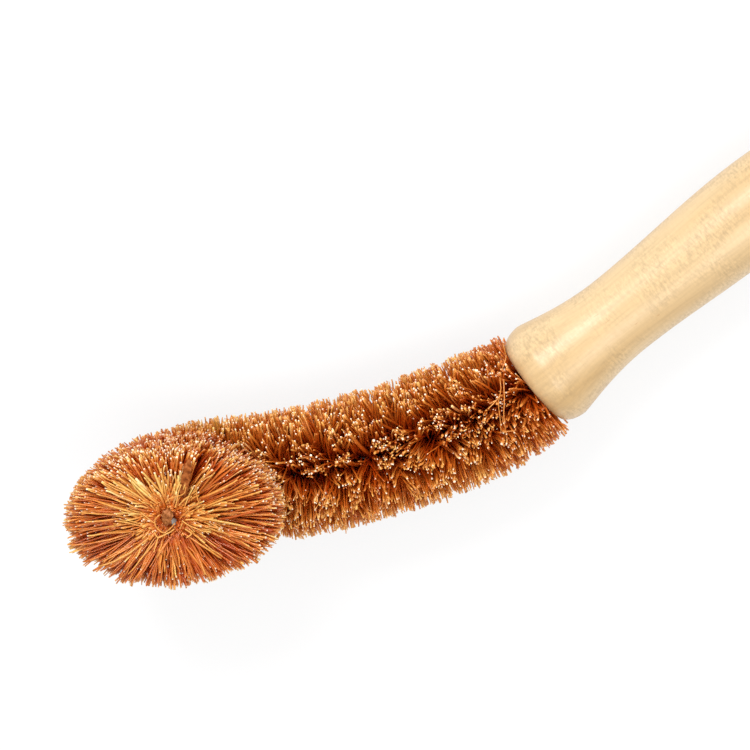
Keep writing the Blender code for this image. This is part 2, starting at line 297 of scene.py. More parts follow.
def fibre_material():
    """Palm fibre: each fibre with its own tint and a pale cut end. Painted shade makes it darker and
    redder near the root and deeper under the filling's trimmed surface, and painted light makes it
    paler right at that surface.
    """
    shader = Shader("palm_fibre")
    colour = shader.ramp(
        shader.attribute("tint"),
        [
            (0.0, (0.43, 0.080, 0.004)),
            (0.30, (0.55, 0.152, 0.015)),
            (0.60, (0.66, 0.268, 0.047)),
            (0.82, (0.77, 0.400, 0.100)),
            (1.0, (0.86, 0.560, 0.250)),
        ],
    )
    mottle = shader.noise(shader.object_place(), scale=900.0, detail=3.0, roughness=0.6)
    mottled = shader.ramp(mottle, [(0.3, 0.72), (0.7, 1.15)])
    colour = shader.mix(1.0, colour, mottled, "MULTIPLY")
    # Painted shade: the colour is multiplied darker and redder the deeper a point lies under the
    # filling's surface or near its root, in place of the shade between fibres, and paler at the
    # surface itself as painted light
    painted_shade = shader.ramp(
        shader.attribute("shade_depth"),
        [
            (0.0, (1.00, 1.30, 1.55)),
            (0.07, (1.02, 1.02, 0.96)),
            (0.18, (0.90, 0.60, 0.40)),
            (0.42, (0.80, 0.32, 0.11)),
            (1.0, (0.62, 0.11, 0.016)),
        ],
    )
    colour = shader.mix(1.0, colour, painted_shade, "MULTIPLY")
    cut = shader.ramp(shader.attribute("from_tip"), [(0.0, 0.82), (0.40, 0.35), (1.0, 0.0)])
    shader.colour_from(shader.mix(cut, colour, (0.95, 0.84, 0.66)))
    shader.set(Roughness=0.29, Specular_IOR_Level=0.80, Specular_Tint=(1.0, 0.87, 0.60, 1.0))
    return shader.material


def wood_material():
    """Pale turned hardwood under satin lacquer, with its grain along the handle."""
    shader = Shader("turned_wood")
    place = shader.attribute("grain", "Vector")
    broad = shader.noise(place, scale=70.0, detail=2.0, roughness=0.5, stretch=(0.12, 1.0, 1.0))
    broad = shader.ramp(broad, [(0.35, 0.0), (0.65, 1.0)])
    colour = shader.mix(broad, (0.475, 0.305, 0.130), (0.595, 0.425, 0.225))
    fine = shader.noise(place, scale=1100.0, detail=4.0, roughness=0.6, stretch=(0.030, 1.0, 1.0))
    streaks = shader.ramp(fine, [(0.30, 0.90), (0.62, 1.03)])
    colour = shader.mix(1.0, colour, streaks, "MULTIPLY")
    curl = shader.noise(place, scale=1500.0, detail=4.0, roughness=0.65, stretch=(1.0, 0.35, 0.35))
    curled = shader.ramp(curl, [(0.36, 0.79), (0.60, 1.07)])
    patches = shader.noise(place, scale=120.0, detail=2.0, roughness=0.5, stretch=(0.6, 1.0, 1.0))
    curly = shader.ramp(patches, [(0.40, 0.15), (0.60, 1.0)])
    colour = shader.mix(curly, colour, curled, "MULTIPLY")
    flecks = shader.noise(place, scale=1300.0, detail=1.0, roughness=0.4, stretch=(0.25, 1.0, 1.0))
    flecked = shader.ramp(flecks, [(0.76, 0.0), (0.82, 0.5)])
    shader.colour_from(shader.mix(flecked, colour, (0.36, 0.17, 0.06)))
    shader.roughness_from(shader.ramp(curl, [(0.3, 0.48), (0.7, 0.30)]))
    shader.set(Specular_IOR_Level=0.45, Coat_Weight=0.28, Coat_Roughness=0.34)
    shader.bump(curl, distance=0.00005, strength=0.7)
    return shader.material


def steel_material():
    """Drawn steel wire with stains, duller where it is dark."""
    shader = Shader("steel_wire")
    stain = shader.noise(shader.object_place(), scale=500.0, detail=4.0, roughness=0.6)
    shader.colour_from(shader.ramp(stain, [(0.3, (0.20, 0.16, 0.13)), (0.7, (0.42, 0.39, 0.36))]))
    shader.roughness_from(shader.ramp(stain, [(0.3, 0.55), (0.7, 0.3)]))
    shader.set(Metallic=1.0)
    return shader.material


def adhesive_material():
    """Set wood adhesive, cloudy and amber."""
    shader = Shader("set_adhesive")
    cloud = shader.noise(shader.object_place(), scale=300.0, detail=3.0, roughness=0.5)
    shader.colour_from(shader.ramp(cloud, [(0.3, (0.62, 0.42, 0.16)), (0.7, (0.80, 0.62, 0.30))]))
    shader.set(Roughness=0.4)
    return shader.material


def bark_material(name, shade):
    """Brown bark or sheath, rough and mottled, with its colours multiplied by shade."""
    shader = Shader(name)
    patches = shader.noise(shader.object_place(), scale=700.0, detail=4.0, roughness=0.65)
    colour = shader.ramp(
        patches,
        [(0.35, (0.13, 0.026, 0.003)), (0.50, (0.31, 0.080, 0.012)), (0.65, (0.48, 0.150, 0.038))],
    )
    shader.colour_from(shader.mix(1.0, colour, shade, "MULTIPLY"))
    shader.set(Roughness=0.6, Specular_IOR_Level=0.12)
    shader.bump(patches, distance=0.0002, strength=0.6)
    return shader.material


# Fibres. Lengths are in metres, and leans and spreads are shares

FIBRES_PER_METRE_STEM = 95000
FIBRES_PER_METRE_BEND = 150000
FIBRES_PER_METRE_LEG = 400000
FIRST_FIBRE_DISTANCE = 0.0008
LAST_FIBRE_OVERRUN = 0.0006
FIBRE_ROOT_RADIUS = 0.0024
ROOT_SCATTER = 0.0012
FIBRE_SIDES = 5
FIBRE_RADIUS = 0.00028
RADIUS_SPREAD = 0.28
REACH_STEP = 0.0002
SPLAY_OUTWARD = math.radians(13)
SPLAY_INWARD = math.radians(15)
END_SPLAY = math.radians(31)
END_SPLAY_LENGTH = 0.007
END_SPLAY_POWER = 1.5
LEAST_END_SPLAY_SHARE = 0.1
BEND_HOLLOW_RADIUS = 0.0035
BEND_SIDE_START = 0.5
BEND_SIDE_SPAN = 0.3
LEAST_CLIMB = 0.01
RIM_HEIGHT = 0.0372
DISH_DEPTH = 0.0045
DISH_POWER = 1.5
RIM_ROUNDING = 0.0022
RIM_ROUNDING_START = 0.75
MOST_RIM_ROUNDING = 1.5
RIDGE_PITCH = 0.0105
RIDGE_PULL = 0.0022
SIDE_RIDGE_SHARE = 0.35
STRAIGHT_END_LENGTH = 0.012
LEAN_ALONG = 0.11
LEAN_ROUND = 0.15
UNRULY_SHARE = 0.045
UNRULY_LEAN = 2.6
# Fibres in a tuft, how far they are drawn together, and the spread of the tuft's own lean
LARGE_TUFTS = (45, 0.22, 0.0016)
SMALL_TUFTS = (8, 0.34, 0.0004)
HEAD_TUFT_STRENGTH = 0.55
NECK_NARROWING = 0.10
NECK_NARROWING_LENGTH = 0.014
MOST_REACH = 1.02
LEAST_LENGTH = 0.001
TABLE_CLEARANCE = 0.0002
LEAST_FALL = 0.05
RINGS = np.array([0.0, 0.30, 0.58, 0.80, 0.93, 1.0])
TAPER_PLACES = (0.0, 0.6, 1.0)
TAPER_WIDTHS = (1.0, 0.95, 0.68)
# Painted shade: the tint dips over the bend, where the brush turns up into the head and its top
# takes most of the lamps' light, to hold that top darker
TINT_PLACES = (0.0, BEND_START, BEND_START + 0.006, LEG_START, FILLING_END - 0.009, FILLING_END)
TINTS = (0.51, 0.55, 0.28, 0.28, 0.47, 0.47)
TINT_SPREAD = 0.19
TUFT_TINT_SPREAD = 0.075
# Painted light and shade: the head's front fibres are tinted paler towards one side and darker
# towards the other, as light falls on the head from that side
SIDE_LIGHT_TINT = 0.22
# Painted shade: how strongly the fibres' colour darkens with depth in the stem and in the head, a
# small depth added so the stem's tips and the head's back miss the palest painted light, and the
# depth over which the shade ramp runs
STEM_GLOOM = 0.70
TIP_GLOOM = 0.0008
HEAD_GLOOM = 1.90
SHADE_DEPTH_SPAN = 0.015
# Painted shade near each fibre's root, where the fibres crowd at the wire: the extra depth it counts
# as and the length over which it fades
ROOT_SHADE = 0.0036
ROOT_SHADE_LENGTH = 0.0050
PALE_END = 0.0005
PALE_LENGTH = 0.012
PALE_POWER = 3
STEM_PALE_SHARE = 0.25
HEAD_PALE_SHARE = 0.48
UNEVENNESS = 0.010
SHORTENING = 0.18
SHORTENING_POWER = 3
FRONT_SHORTENING = 0.55
FRONT_SHORTENED_SHARE = 0.50
FRONT_SHORTENING_START = 0.006
FRONT_SHORTENING_FULL = 0.003
# Where fibres of the head's front part: the photograph's pixel with a height in millimetres
# above the stem's axis, half the parting's width in radians, the share of their length that
# fibres keep there, and how far down the wire it goes
HEAD_PARTINGS = [
    ((190.4, 484.0, 37.0), 0.075, 0.18, 0.010),
    ((204.0, 554.0, 37.0), 0.080, 0.55, 0.006),
    ((160.0, 543.0, 36.5), 0.070, 0.30, 0.0035),
]
UNDERCOAT_SHARE = 0.10
UNDERCOAT_LENGTHS = (0.35, 0.8)
STRAY_SHARE = 0.005
STRAY_REACH = 1.08
BOW = 0.022
HOOK = 0.032
HOOK_RETURN = 0.4
KINK = 0.00010
# A tube's cell in the texture map, as shares of the cell
MAP_SIDE_MARGIN = 0.08
MAP_BOTTOM = 0.05
MAP_HEIGHT = 0.80
MAP_CAP_CENTRE = (0.5, 0.93)
MAP_CAP_SIZE = (0.3, 0.05)


def head_level(point):
    """How far out points are in the head's shape, an oval tube with a rounded back: 1 is on it."""
    offset = point - HEAD_FOOT
    half_length = (HEAD_REACH_OUTWARD + HEAD_REACH_INWARD) / 2
    middle = (HEAD_REACH_INWARD - HEAD_REACH_OUTWARD) / 2
    along = np.abs(-dot(offset, HEAD_LEVEL) - middle) / half_length
    across = np.abs(dot(offset, HEAD_SIDEWAYS)) / HEAD_REACH_SIDEWAYS
    back_depth = HEAD_BELLY_HEIGHT + HEAD_REACH_BACK
    back = np.maximum(HEAD_BELLY_HEIGHT - offset[..., 2], 0) / back_depth
    level = along**HEAD_ROUNDNESS + across**HEAD_ROUNDNESS + back**HEAD_ROUNDNESS
    return level ** (1 / HEAD_ROUNDNESS)


def spokes(distance, angle):
    """Directions of fibres that leave the wire at distances, turned by angles from inward."""
    _, tangent, inward, sideways = wire_frames(distance)
    spoke = np.cos(angle)[:, None] * inward + np.sin(angle)[:, None] * sideways
    share = np.clip((distance - LEG_START) / LEG_LENGTH, 0, 1)
    toward_handle = (1 + np.cos(angle)) / 2
    splay = SPLAY_OUTWARD * share * (1 - toward_handle) + SPLAY_INWARD * toward_handle
    splay = np.where(distance > LEG_START, splay, 0)
    last = np.clip((distance - FILLING_END + END_SPLAY_LENGTH) / END_SPLAY_LENGTH, 0, 1)
    end_share = last**END_SPLAY_POWER * rng.uniform(LEAST_END_SPLAY_SHARE, 1.0, len(distance))
    splay = splay + (END_SPLAY - splay) * end_share
    return unit(np.cos(splay)[:, None] * spoke + np.sin(splay)[:, None] * tangent)


def front_height(point):
    """Height of the head's trimmed front above the stem's level, dished with a rounded rim."""
    offset = point - HEAD_FOOT
    along = dot(offset, HEAD_LEVEL) / HEAD_REACH_OUTWARD
    across = dot(offset, HEAD_SIDEWAYS) / HEAD_REACH_SIDEWAYS
    outward = along**2 + across**2
    dish = DISH_DEPTH * np.clip(1 - outward, 0, 1) ** DISH_POWER
    rounded = (np.sqrt(outward) - RIM_ROUNDING_START) / (1 - RIM_ROUNDING_START)
    return RIM_HEIGHT - dish - RIM_ROUNDING * np.clip(rounded, 0, MOST_RIM_ROUNDING) ** 2


def cut_at_table(root, direction, reach):
    """Reach of fibres that are cut flat where they would go into the table."""
    fall = -dot(direction @ BRUSH_MATRIX[:3, :3].T, UP)
    height = to_world(root)[:, 2] - TABLE_CLEARANCE
    most = height / np.maximum(fall, LEAST_FALL)
    return np.where(fall > LEAST_FALL, np.minimum(reach, most), reach)


def trimmed_reach(root, direction, inward, distance):
    """How far fibres reach from the wire's centre line inside the trimmed shape."""
    climb = dot(direction, inward)
    on_stem = distance <= BEND_START
    in_bend = ~on_stem & (distance <= LEG_START)
    most = np.full(len(distance), 2 * HEAD_REACH_INWARD)
    most = np.where(on_stem & (climb > 0), STEM_REACH, most)
    hollow = (BEND_RADIUS - BEND_HOLLOW_RADIUS) / np.maximum(climb, LEAST_CLIMB)
    most = np.where(in_bend & (climb > 0), np.minimum(most, hollow), most)
    sideways_share = np.sqrt(np.clip(1 - climb**2, 0, 1))
    bend_share = np.clip((sideways_share - BEND_SIDE_START) / BEND_SIDE_SPAN, 0, 1)
    reach = np.where(on_stem, STEM_REACH, FIBRE_ROOT_RADIUS)
    reach = np.where(in_bend, np.maximum(reach, STEM_REACH * bend_share), reach)
    growing = reach < most
    while growing.any():
        point = root[growing] + reach[growing, None] * direction[growing]
        low_enough = point[:, 2] - HEAD_FOOT[2] < front_height(point)
        inside = (head_level(point) < 1) & low_enough & (reach[growing] < most[growing])
        index = np.flatnonzero(growing)
        reach[index[inside]] += REACH_STEP
        growing[index[~inside]] = False
    return cut_at_table(root, direction, reach)


def depth_for_shade(points, root, distance):
    """How deep the points of fibres are under the trimmed surface of the filling, with extra depth
    near each root, from which the fibre material paints shade.
    """
    in_stem = STEM_REACH - np.linalg.norm(points - root[:, None], axis=-1)
    in_stem = TIP_GLOOM + STEM_GLOOM * np.maximum(in_stem, 0)
    from_side = (1 - head_level(points)) * HEAD_REACH_SIDEWAYS
    from_front = HEAD_FOOT[2] + front_height(points) - points[..., 2]
    in_head = HEAD_GLOOM * np.minimum(from_side, from_front)
    on_back = distance < FILLING_END - FRONT_SHORTENING_START
    in_head = in_head + (TIP_GLOOM * on_back)[:, None]
    depth = np.where(distance[:, None] < BEND_START, in_stem, in_head)
    from_root = np.linalg.norm(points - points[:, :1], axis=-1)
    # The painted shade near the roots is added as extra depth
    return np.maximum(depth, 0) + ROOT_SHADE * np.exp(-((from_root / ROOT_SHADE_LENGTH) ** 2))


def clear_of_handle(points):
    """Points of fibres, with the lean of those that would go into the handle's face taken back."""
    before_face = np.hypot(points[..., 1], points[..., 2]) < FRONT_RADIUS
    root = np.minimum(points[:, :1, 0], -2 * TOUCH_GAP)
    lean = np.maximum(points[..., 0] - root, 0)
    most_lean = np.where(before_face, -TOUCH_GAP - root, np.inf)
    share = np.min(most_lean / np.maximum(lean, TOUCH_GAP / 10), axis=1, keepdims=True)
    kept = np.minimum(points[..., 0], root + np.minimum(share, 1) * lean)
    return np.concatenate([kept[..., None], points[..., 1:]], axis=-1)


def planted(low, high, per_metre):
    """Distances and angles of the fibres of one stretch, evenly spread."""
    count = int((high - low) * per_metre)
    distance = low + (high - low) * (np.arange(count) + rng.random(count)) / count
    angle = rng.uniform(0, 2 * math.pi, count)
    return distance, angle


def leaned(direction, tangent):
    """Directions turned by normally spread angles along the wire and round it."""
    count = len(direction)
    across = unit(np.cross(tangent, direction))
    unruly = np.where(rng.random(count) < UNRULY_SHARE, UNRULY_LEAN, 1.0)
    lean_along = (unruly * rng.normal(0, LEAN_ALONG, count))[:, None]
    lean_round = (unruly * rng.normal(0, LEAN_ROUND, count))[:, None]
    return unit(direction + lean_along * tangent + lean_round * across)


def tufted(tip, strength, size, pull, lean):
    """Tips drawn together in tufts of about size fibres, each tuft with a lean of its own."""
    leaders = rng.choice(len(tip), len(tip) // size, replace=False)
    tree = KDTree(len(leaders))
    for place, leader in enumerate(leaders):
        tree.insert(tip[leader], place)
    tree.balance()
    tuft = np.array([tree.find(point)[1] for point in tip])
    leans = rng.normal(0, lean, (len(leaders), 3))
    return tip + strength * (pull * (tip[leaders][tuft] - tip) + leans[tuft]), tuft


def neck_narrowing(distance):
    """Share by which the fibres near the handle are shorter."""
    return NECK_NARROWING * np.exp(-((distance / NECK_NARROWING_LENGTH) ** 2))


def parted(direction, before_end):
    """Share of their length that the fibres of the head's front keep where they part."""
    heading = np.arctan2(dot(direction, HEAD_SIDEWAYS), dot(direction, HEAD_LEVEL))
    share = np.ones(len(direction))
    for place, half_width, kept, depth in HEAD_PARTINGS:
        offset = from_world(on_photo([place]))[0] - HEAD_FOOT
        middle = math.atan2(offset @ HEAD_SIDEWAYS, offset @ HEAD_LEVEL)
        aside = np.abs(np.remainder(heading - middle + math.pi, 2 * math.pi) - math.pi)
        share = np.where((aside < half_width) & (before_end < depth), kept, share)
    return share


def drawn_tips(tip, tangent, distance, angle):
    """Tips drawn into ridges and tufts, and the small tuft that each belongs to."""
    # Ridges wind round the stem like the wire's twist, strongest in front and behind
    phase = 2 * angle - 2 * math.pi * distance / RIDGE_PITCH
    ridge = SIDE_RIDGE_SHARE + (1 - SIDE_RIDGE_SHARE) * np.cos(angle) ** 2
    ridge = np.where(distance < BEND_START, ridge, SIDE_RIDGE_SHARE)
    ridge = ridge * np.clip(distance / STRAIGHT_END_LENGTH, 0, 1)
    tip = tip - (RIDGE_PULL * ridge * np.sin(phase))[:, None] * tangent
    tip, _ = tufted(tip, ridge[:, None], *LARGE_TUFTS)
    strength = np.where(distance < BEND_START, 1.0, HEAD_TUFT_STRENGTH)[:, None]
    return tufted(tip, strength, *SMALL_TUFTS)


def cut_share(direction, distance, near_front):
    """Share of the trimmed reach at which each fibre ends, a little uneven."""
    count = len(distance)
    shortening = SHORTENING * rng.random(count) ** SHORTENING_POWER
    shortened = near_front * (rng.random(count) < FRONT_SHORTENED_SHARE)
    shortening = shortening + FRONT_SHORTENING * shortened * rng.random(count)
    share = rng.normal(1.0, UNEVENNESS, count) - shortening
    undercoat = rng.random(count) < UNDERCOAT_SHARE
    share = np.where(undercoat, rng.uniform(*UNDERCOAT_LENGTHS, count), share)
    share = np.minimum(share, MOST_REACH)
    stray = (rng.random(count) < STRAY_SHARE) & (distance < BEND_START)
    share = np.where(stray, rng.uniform(1.0, STRAY_REACH, count), share)
    return share * parted(direction, FILLING_END - distance) * (1 - neck_narrowing(distance))


def bowed(start, end):
    """Points along fibres from start to end, with a bow, a hooked tip and a little kink."""
    count = len(start)
    direction = unit(end - start)
    length = np.linalg.norm(end - start, axis=1)[:, None]
    bow = square_to(rng.normal(0, BOW, (count, 3)) * length, direction)[:, None]
    hook = square_to(rng.normal(0, HOOK, (count, 3)) * length, direction)[:, None]
    share = RINGS[None, :, None]
    straight = start[:, None] + share * (length * direction)[:, None]
    points = straight + bow * np.sin(math.pi * share) + hook * (share**4 - HOOK_RETURN * share**2)
    points[:, -3:-1] += rng.normal(0, KINK, (count, 2, 3))
    return points


def fibre_tints(direction, distance, near_front, tuft):
    """Tint of each fibre, from 0 for dark to 1 for pale."""
    tint = np.interp(distance, TINT_PLACES, TINTS) + rng.normal(0, TINT_SPREAD, len(distance))
    tint = tint + TUFT_TINT_SPREAD * rng.normal(0, 1, tuft.max() + 1)[tuft]
    # Painted light and shade: front fibres paler on the side the light falls on, darker on the other
    tint = tint + SIDE_LIGHT_TINT * near_front * dot(direction, HEAD_SIDEWAYS)
    return np.clip(tint, 0, 1)


def all_fibres():
    """Each fibre's distance along the wire, points from root to tip, radius, tint and the depth from
    which its shade is painted.
    """
    stretches = [
        planted(FIRST_FIBRE_DISTANCE, BEND_START, FIBRES_PER_METRE_STEM),
        planted(BEND_START, LEG_START, FIBRES_PER_METRE_BEND),
        planted(LEG_START, FILLING_END + LAST_FIBRE_OVERRUN, FIBRES_PER_METRE_LEG),
    ]
    distance, angle = np.concatenate(stretches, axis=-1)
    root, tangent, inward, _ = wire_frames(distance)
    direction = leaned(spokes(distance, angle), tangent)
    reach = trimmed_reach(root, direction, inward, distance)
    tip, tuft = drawn_tips(root + reach[:, None] * direction, tangent, distance, angle)

    # The scissors cut them where they now stand
    direction = unit(tip - root)
    front_places = (FRONT_SHORTENING_FULL, FRONT_SHORTENING_START)
    near_front = np.interp(FILLING_END - distance, front_places, (1.0, 0.0))
    reach = trimmed_reach(root, direction, inward, distance)
    reach = reach * cut_share(direction, distance, near_front)
    reach = cut_at_table(root, direction, reach)
    reach = np.maximum(reach, FIBRE_ROOT_RADIUS + LEAST_LENGTH)

    aside = square_to(rng.normal(0, ROOT_SCATTER, root.shape), direction)
    start = root + FIBRE_ROOT_RADIUS * direction + aside
    start[:, 2] = np.minimum(start[:, 2], HEAD_FOOT[2] + BEND_RADIUS + LEG_LENGTH)
    end = root + reach[:, None] * direction
    points = clear_of_handle(bowed(start, end))
    radius = FIBRE_RADIUS * np.exp(rng.normal(0, RADIUS_SPREAD, len(distance)))
    tint = fibre_tints(unit(end - start), distance, near_front, tuft)
    return distance, points, radius, tint, depth_for_shade(points, root, distance)


def tube_vertices(points, radius, sides):
    """Vertices round tapering tubes along points, shaped (tubes, rings, sides, 3)."""
    count, rings, _ = points.shape
    tangent = unit(np.gradient(points, axis=1))
    across = unit(np.cross(tangent[:, 0], rng.normal(0, 1, (count, 3))))
    frames = []
    for ring in range(rings):
        across = unit(square_to(across, tangent[:, ring]))
        frames.append(across)
    first = np.stack(frames, axis=1)
    second = np.cross(tangent, first)
    corner = (2 * math.pi * np.arange(sides) / sides)[:, None]
    arm = np.cos(corner) * first[:, :, None] + np.sin(corner) * second[:, :, None]
    taper = np.interp(np.linspace(0, 1, rings), TAPER_PLACES, TAPER_WIDTHS)
    thickness = radius[:, None] * taper
    return points[:, :, None] + thickness[..., None, None] * arm


def tube_faces(count, rings, sides):
    """Vertex numbers of the tubes' side faces, their root caps and their tip caps."""
    tube = np.arange(count)[:, None, None] * rings * sides
    low = tube + np.arange(rings - 1)[:, None] * sides
    high = low + sides
    side = np.arange(sides)
    following = (side + 1) % sides
    quads = np.stack([low + side, low + following, high + following, high + side], axis=-1)
    root_caps = tube[:, 0] + side[::-1]
    tip_caps = tube[:, 0] + (rings - 1) * sides + side
    return quads.reshape(-1, 4), root_caps, tip_caps


def tube_map(count, rings, sides):
    """Texture places of the faces' corners: a cell for each tube, with one column a side."""
    grid = math.ceil(math.sqrt(count))
    number = np.arange(count)
    cell = np.stack([number % grid, number // grid], axis=-1) / grid
    left = (np.arange(sides) + MAP_SIDE_MARGIN) / sides
    right = (np.arange(sides) + 1 - MAP_SIDE_MARGIN) / sides
    row = np.arange(rings - 1)[:, None]
    low = MAP_BOTTOM + MAP_HEIGHT * row / (rings - 1)
    high = MAP_BOTTOM + MAP_HEIGHT * (row + 1) / (rings - 1)
    corners = ((left, low), (right, low), (right, high), (left, high))
    corners = [np.stack(np.broadcast_arrays(*corner), axis=-1) for corner in corners]
    side_map = cell[:, None, None, None] + np.stack(corners, axis=-2) / grid
    angle = (2 * math.pi * np.arange(sides) / sides)[:, None]
    round_cap = np.concatenate([np.cos(angle), np.sin(angle)], axis=-1)
    cap_map = cell[:, None] + (np.array(MAP_CAP_CENTRE) + np.array(MAP_CAP_SIZE) * round_cap) / grid
    return np.concatenate([places.reshape(-1, 2) for places in (side_map, cap_map, cap_map)])


def tube_mesh(name, points, radius, tint, shade_depth, pale_share, sides):
    """One mesh of closed thin tubes along points, shaped (tubes, rings, 3), in the world."""
    count, rings, _ = points.shape
    vertices = tube_vertices(points, radius, sides)
    quads, root_caps, tip_caps = tube_faces(count, rings, sides)
    loops = np.concatenate([quads.ravel(), root_caps.ravel(), tip_caps.ravel()])
    totals = np.concatenate([np.full(len(quads), 4), np.full(2 * count, sides)])
    starts = np.concatenate([[0], np.cumsum(totals)[:-1]])
    mesh = bpy.data.meshes.new(name)
    mesh.vertices.add(count * rings * sides)
    mesh.vertices.foreach_set("co", vertices.ravel().astype(np.float32))
    mesh.loops.add(len(loops))
    mesh.loops.foreach_set("vertex_index", loops.astype(np.int32))
    mesh.polygons.add(len(totals))
    mesh.polygons.foreach_set("loop_start", starts.astype(np.int32))
    mesh.update(calc_edges=True)
    mesh.polygons.foreach_set("use_smooth", np.arange(len(totals)) < len(quads))

    length = np.linalg.norm(np.diff(points, axis=1), axis=-1)
    travelled = np.concatenate([np.zeros((count, 1)), np.cumsum(length, axis=1)], axis=1)
    whole = travelled[:, -1:]
    pale_chance = pale_share * np.clip(whole / PALE_LENGTH, 0, 1) ** PALE_POWER
    plain = rng.random((count, 1)) > pale_chance
    store(mesh, "tint", np.repeat(tint, rings * sides))
    # The depth from which the fibre material paints shade
    store(mesh, "shade_depth", np.repeat(shade_depth / SHADE_DEPTH_SPAN, sides))
    store(mesh, "from_tip", np.repeat((whole - travelled) / PALE_END + plain, sides))
    layer = mesh.uv_layers.new(name="OFBake")
    layer.data.foreach_set("uv", tube_map(count, rings, sides).ravel().astype(np.float32))
    return mesh


def store(mesh, name, values):
    attribute = mesh.attributes.new(name, "FLOAT", "POINT")
    attribute.data.foreach_set("value", np.ascontiguousarray(values, np.float32).ravel())


def add_piece(name, data, material):
    data.materials.append(material)
    piece = bpy.data.objects.new(name, data)
    bpy.context.scene.collection.objects.link(piece)
    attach(piece, "root")
    return piece


def slices():
    """Each slice of the filling: its node's name and its start and end along the wire."""
    stretches = [
        ("bristles_stem", TOUCH_GAP, BEND_START, STEM_SLICES),
        ("bristles_bend", BEND_START, LEG_START, BEND_SLICES),
        ("bristles_head", LEG_START, FILLING_END, HEAD_SLICES),
    ]
    for name, start, end, count in stretches:
        pitch = (end - start) / count
        for number in range(count):
            yield f"{name}_{number + 1}", start + number * pitch, start + (number + 1) * pitch


def make_fibres(material):
    """The filling's fibres, one piece for each slice."""
    distance, points, radius, tint, shade_depth = all_fibres()
    points = to_world(points)
    points[..., 2] = np.maximum(points[..., 2], TABLE_CLEARANCE)
    nodes = [node for node, _, _ in slices()]
    for node, start, end in slices():
        start = -math.inf if node == nodes[0] else start
        end = math.inf if node == nodes[-1] else end
        mine = (distance >= start) & (distance < end)
        pale_share = HEAD_PALE_SHARE if node == nodes[-1] else STEM_PALE_SHARE
        drawn = (points[mine], radius[mine], tint[mine], shade_depth[mine], pale_share)
        mesh = tube_mesh(node + "_fibres", *drawn, FIBRE_SIDES)
        piece = add_piece(node + "_fibres", mesh, material)
        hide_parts(node)


# Loose strands, flake and knob. Their places are the photograph's pixels, with a height in
# millimetres above the stem's axis

HEAD_STRANDS = [
    [(159.9, 516.5, 35.2), (154.3, 522.3, 35.9), (155.3, 529.8, 36.1), (162.4, 536.0, 36.2),
     (166.5, 533.9, 36.0), (171.5, 529.0, 35.3), (174.4, 524.0, 34.0)],
    [(153.7, 534.8, 35.8), (157.4, 540.2, 36.1), (164.9, 537.3, 36.3), (169.9, 534.8, 36.0),
     (174.0, 531.0, 35.3)],
    [(157.4, 540.2, 36.1), (155.8, 546.0, 36.4), (153.3, 554.7, 36.6)],
    [(140.0, 515.7, 36.8), (148.3, 522.3, 36.4), (155.3, 527.3, 36.1)],
    [(164.9, 504.5, 35.6), (169.0, 501.2, 36.4), (177.3, 499.1, 36.9), (183.5, 496.2, 37.1),
     (185.6, 489.0, 37.0)],
    [(180.6, 487.0, 37.6), (177.3, 497.5, 37.2), (176.1, 504.5, 36.6), (174.4, 509.9, 35.5)],
    [(188.9, 499.1, 37.3), (183.5, 502.9, 36.9), (178.1, 508.2, 36.0)],
    [(195.1, 488.0, 38.0), (196.4, 500.4, 37.6), (198.5, 506.6, 37.3)],
    [(197.6, 507.8, 37.2), (191.8, 509.9, 36.7), (185.6, 514.9, 36.0), (179.4, 520.3, 34.6)],
    [(181.5, 522.8, 35.3), (187.7, 528.1, 36.2), (195.1, 531.9, 37.0), (201.4, 535.2, 37.6)],
    [(181.9, 525.2, 35.4), (179.4, 531.9, 36.0)],
    [(184.4, 531.9, 36.2), (190.6, 537.3, 37.0), (185.6, 541.4, 37.0)],
    [(184.8, 522.3, 35.6), (197.2, 522.8, 36.8)],
]
STEM_STRANDS = [
    [(494.7, 372.5, 18.2), (498.2, 387.4, 19.6), (497.6, 403.5, 20.0), (499.9, 417.3, 19.7),
     (501.0, 433.0, 18.5)],
    [(499.9, 376.0, 18.4), (503.3, 398.9, 19.9), (503.9, 417.3, 19.4), (506.8, 440.2, 17.2)],
    [(487.3, 409.2, 20.0), (493.0, 402.5, 20.3), (498.7, 394.3, 20.2)],
    [(488.4, 403.5, 20.0), (496.4, 398.9, 20.2)],
    [(502.2, 431.0, 18.6), (509.0, 431.6, 18.8), (516.0, 430.6, 18.3)],
    [(502.2, 350.7, 12.5), (500.5, 357.0, 14.0), (497.6, 364.4, 15.8)],
    [(509.0, 372.0, 3.0), (505.5, 354.0, 4.0), (503.0, 343.0, 4.0), (503.9, 337.5, 4.0)],
    [(506.0, 372.0, 2.0), (500.0, 352.0, 3.0), (495.3, 338.9, 3.0), (491.3, 333.5, 3.0)],
]
HEAD_STRAND_THICKNESS = 0.00042
HEAD_STRAND_TINT = 0.72
STEM_STRAND_THICKNESS = 0.00032
STEM_STRAND_TINT = 0.48
STRAND_TINT_SPREAD = 0.12
STRAND_THICKNESS_SHARES = (0.85, 1.2)
STRAND_SIDES = 6
STRAND_RINGS = 14
